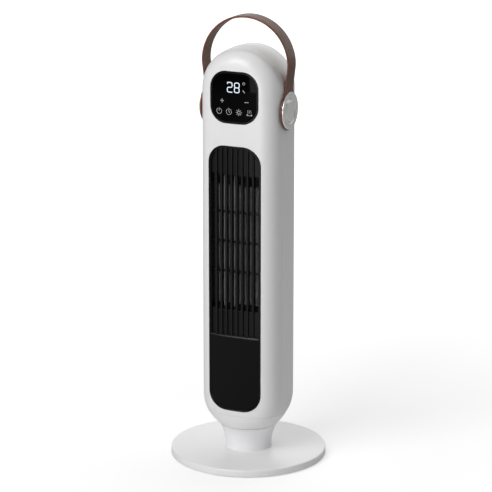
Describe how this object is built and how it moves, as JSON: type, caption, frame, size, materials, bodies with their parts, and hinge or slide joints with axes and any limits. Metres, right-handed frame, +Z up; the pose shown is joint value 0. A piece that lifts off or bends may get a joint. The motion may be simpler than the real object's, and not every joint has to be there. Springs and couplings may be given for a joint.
{
  "type": "ceramic tower heater",
  "caption": "Slim upright ceramic heater on a round base, with a swinging head, front outlet grille, touch display and strap carrying handle.",
  "frame": {"origin": "on the floor at the centre of the round base, which is also the axis the head swings on", "axes": "+Z up along the column, -Y the side of the outlet and the display, +X to the right in a front view"},
  "size_m": [0.24, 0.24, 0.688],
  "materials": {
    "white_shell": "moulded white plastic, semi gloss",
    "white_base": "moulded white plastic, semi gloss",
    "white_neck": "moulded white plastic, satin",
    "pivot_white": "moulded white plastic, satin",
    "black_gloss": "high gloss black plastic",
    "black_satin": "satin black plastic",
    "bezel_black": "gloss black rim",
    "trim_silver": "bright plated strip",
    "leather_taupe": "grained leather, taupe",
    "leather_edge": "painted leather edge, reddish brown",
    "steel": "bright zinc plated steel",
    "fin_aluminium": "mill finish aluminium",
    "ceramic": "fired ceramic",
    "heater_black": "heat resistant black plastic",
    "fan_black": "glass filled black plastic",
    "inner_grey": "moulded grey plastic",
    "acetal": "natural acetal",
    "board_green": "solder mask",
    "part_black": "moulded component body",
    "relay_blue": "moulded component body",
    "digits": "smoked light module",
    "filter_mesh": "fine nylon mesh",
    "rubber": "moulded rubber",
    "motor_steel": "painted motor can"
  },
  "bodies": {
    "base": {"base_cover": "white_base", "base_bottom_plate": "inner_grey", "base_weight": "steel", "rubber_feet": "rubber", "base_screws": "steel", "cord_gland": "rubber", "tip_switch": "part_black", "tip_spring": "steel", "neck_collar": "white_neck", "neck_screws": "steel", "pivot_post": "inner_grey", "post_screws": "steel", "thrust_ring": "acetal", "retaining_ring": "steel", "swing_gear": "acetal"},
    "tip_plunger": {"tip_plunger": "acetal"},
    "head": {"swing_motor": "motor_steel", "hub_bush": "acetal", "bottom_cap": "white_shell", "front_shell": "white_shell", "rear_shell": "white_shell", "shell_screws": "steel", "insert_frame": "bezel_black", "outlet_grille": "black_satin", "lower_panel": "black_gloss", "trim_strip": "trim_silver", "display_bezel": "bezel_black", "display_lens": "black_gloss", "display_board": "board_green", "digit_module": "digits", "ir_receiver": "part_black", "touch_springs": "steel", "buzzer": "part_black", "lower_shelf": "inner_grey", "upper_shelf": "inner_grey", "blower_housing": "inner_grey", "blower_motor": "motor_steel", "motor_mount": "steel", "top_bearing": "steel", "heater_frame": "heater_black", "ptc_bars": "ceramic", "heater_fins": "fin_aluminium", "thermal_cutout": "part_black", "control_board": "board_green", "relays": "relay_blue", "mains_capacitor": "part_black", "room_sensor": "part_black", "pivot_studs": "inner_grey", "pivot_washers": "acetal"},
    "swing_pinion": {"swing_pinion": "acetal"},
    "impeller": {"impeller": "fan_black", "impeller_shaft": "steel"},
    "filter_cover": {"filter_cover": "white_shell", "dust_filter": "filter_mesh"},
    "handle": {"strap_inner_skin": "leather_taupe", "strap_core": "leather_edge", "strap_outer_skin": "leather_taupe", "pivot_cap_left": "pivot_white", "pivot_cap_right": "pivot_white"}
  },
  "joints": [
    {"name": "head_swing", "type": "hinge", "parent": "base", "child": "head", "pos_m": [0, 0, 0.0518], "axis": [0, 0, 1], "range_deg": [-35, 35]},
    {"name": "pinion_spin", "type": "hinge", "parent": "head", "child": "swing_pinion", "pos_m": [0, 0.028, 0.0605], "axis": [0, 0, 1], "range_deg": [-90, 90]},
    {"name": "impeller_spin", "type": "hinge", "parent": "head", "child": "impeller", "pos_m": [0, 0.016, 0.338], "axis": [0, 0, 1], "continuous": true},
    {"name": "filter_pull", "type": "slide", "parent": "head", "child": "filter_cover", "axis": [0, 1, 0], "range_m": [0, 0.03]},
    {"name": "handle_fold", "type": "hinge", "parent": "head", "child": "handle", "pos_m": [0, 0, 0.548], "axis": [1, 0, 0], "range_deg": [-145, 145]},
    {"name": "tip_press", "type": "slide", "parent": "base", "child": "tip_plunger", "axis": [0, 0, 1], "range_m": [-0.002, 0], "stiffness_N_per_m": 60, "springref_m": -0.006, "deforming": ["tip_spring"]}
  ],
  "couplings": [
    {"joint": "pinion_spin", "follows": "head_swing", "ratio": 2.5}
  ]
}
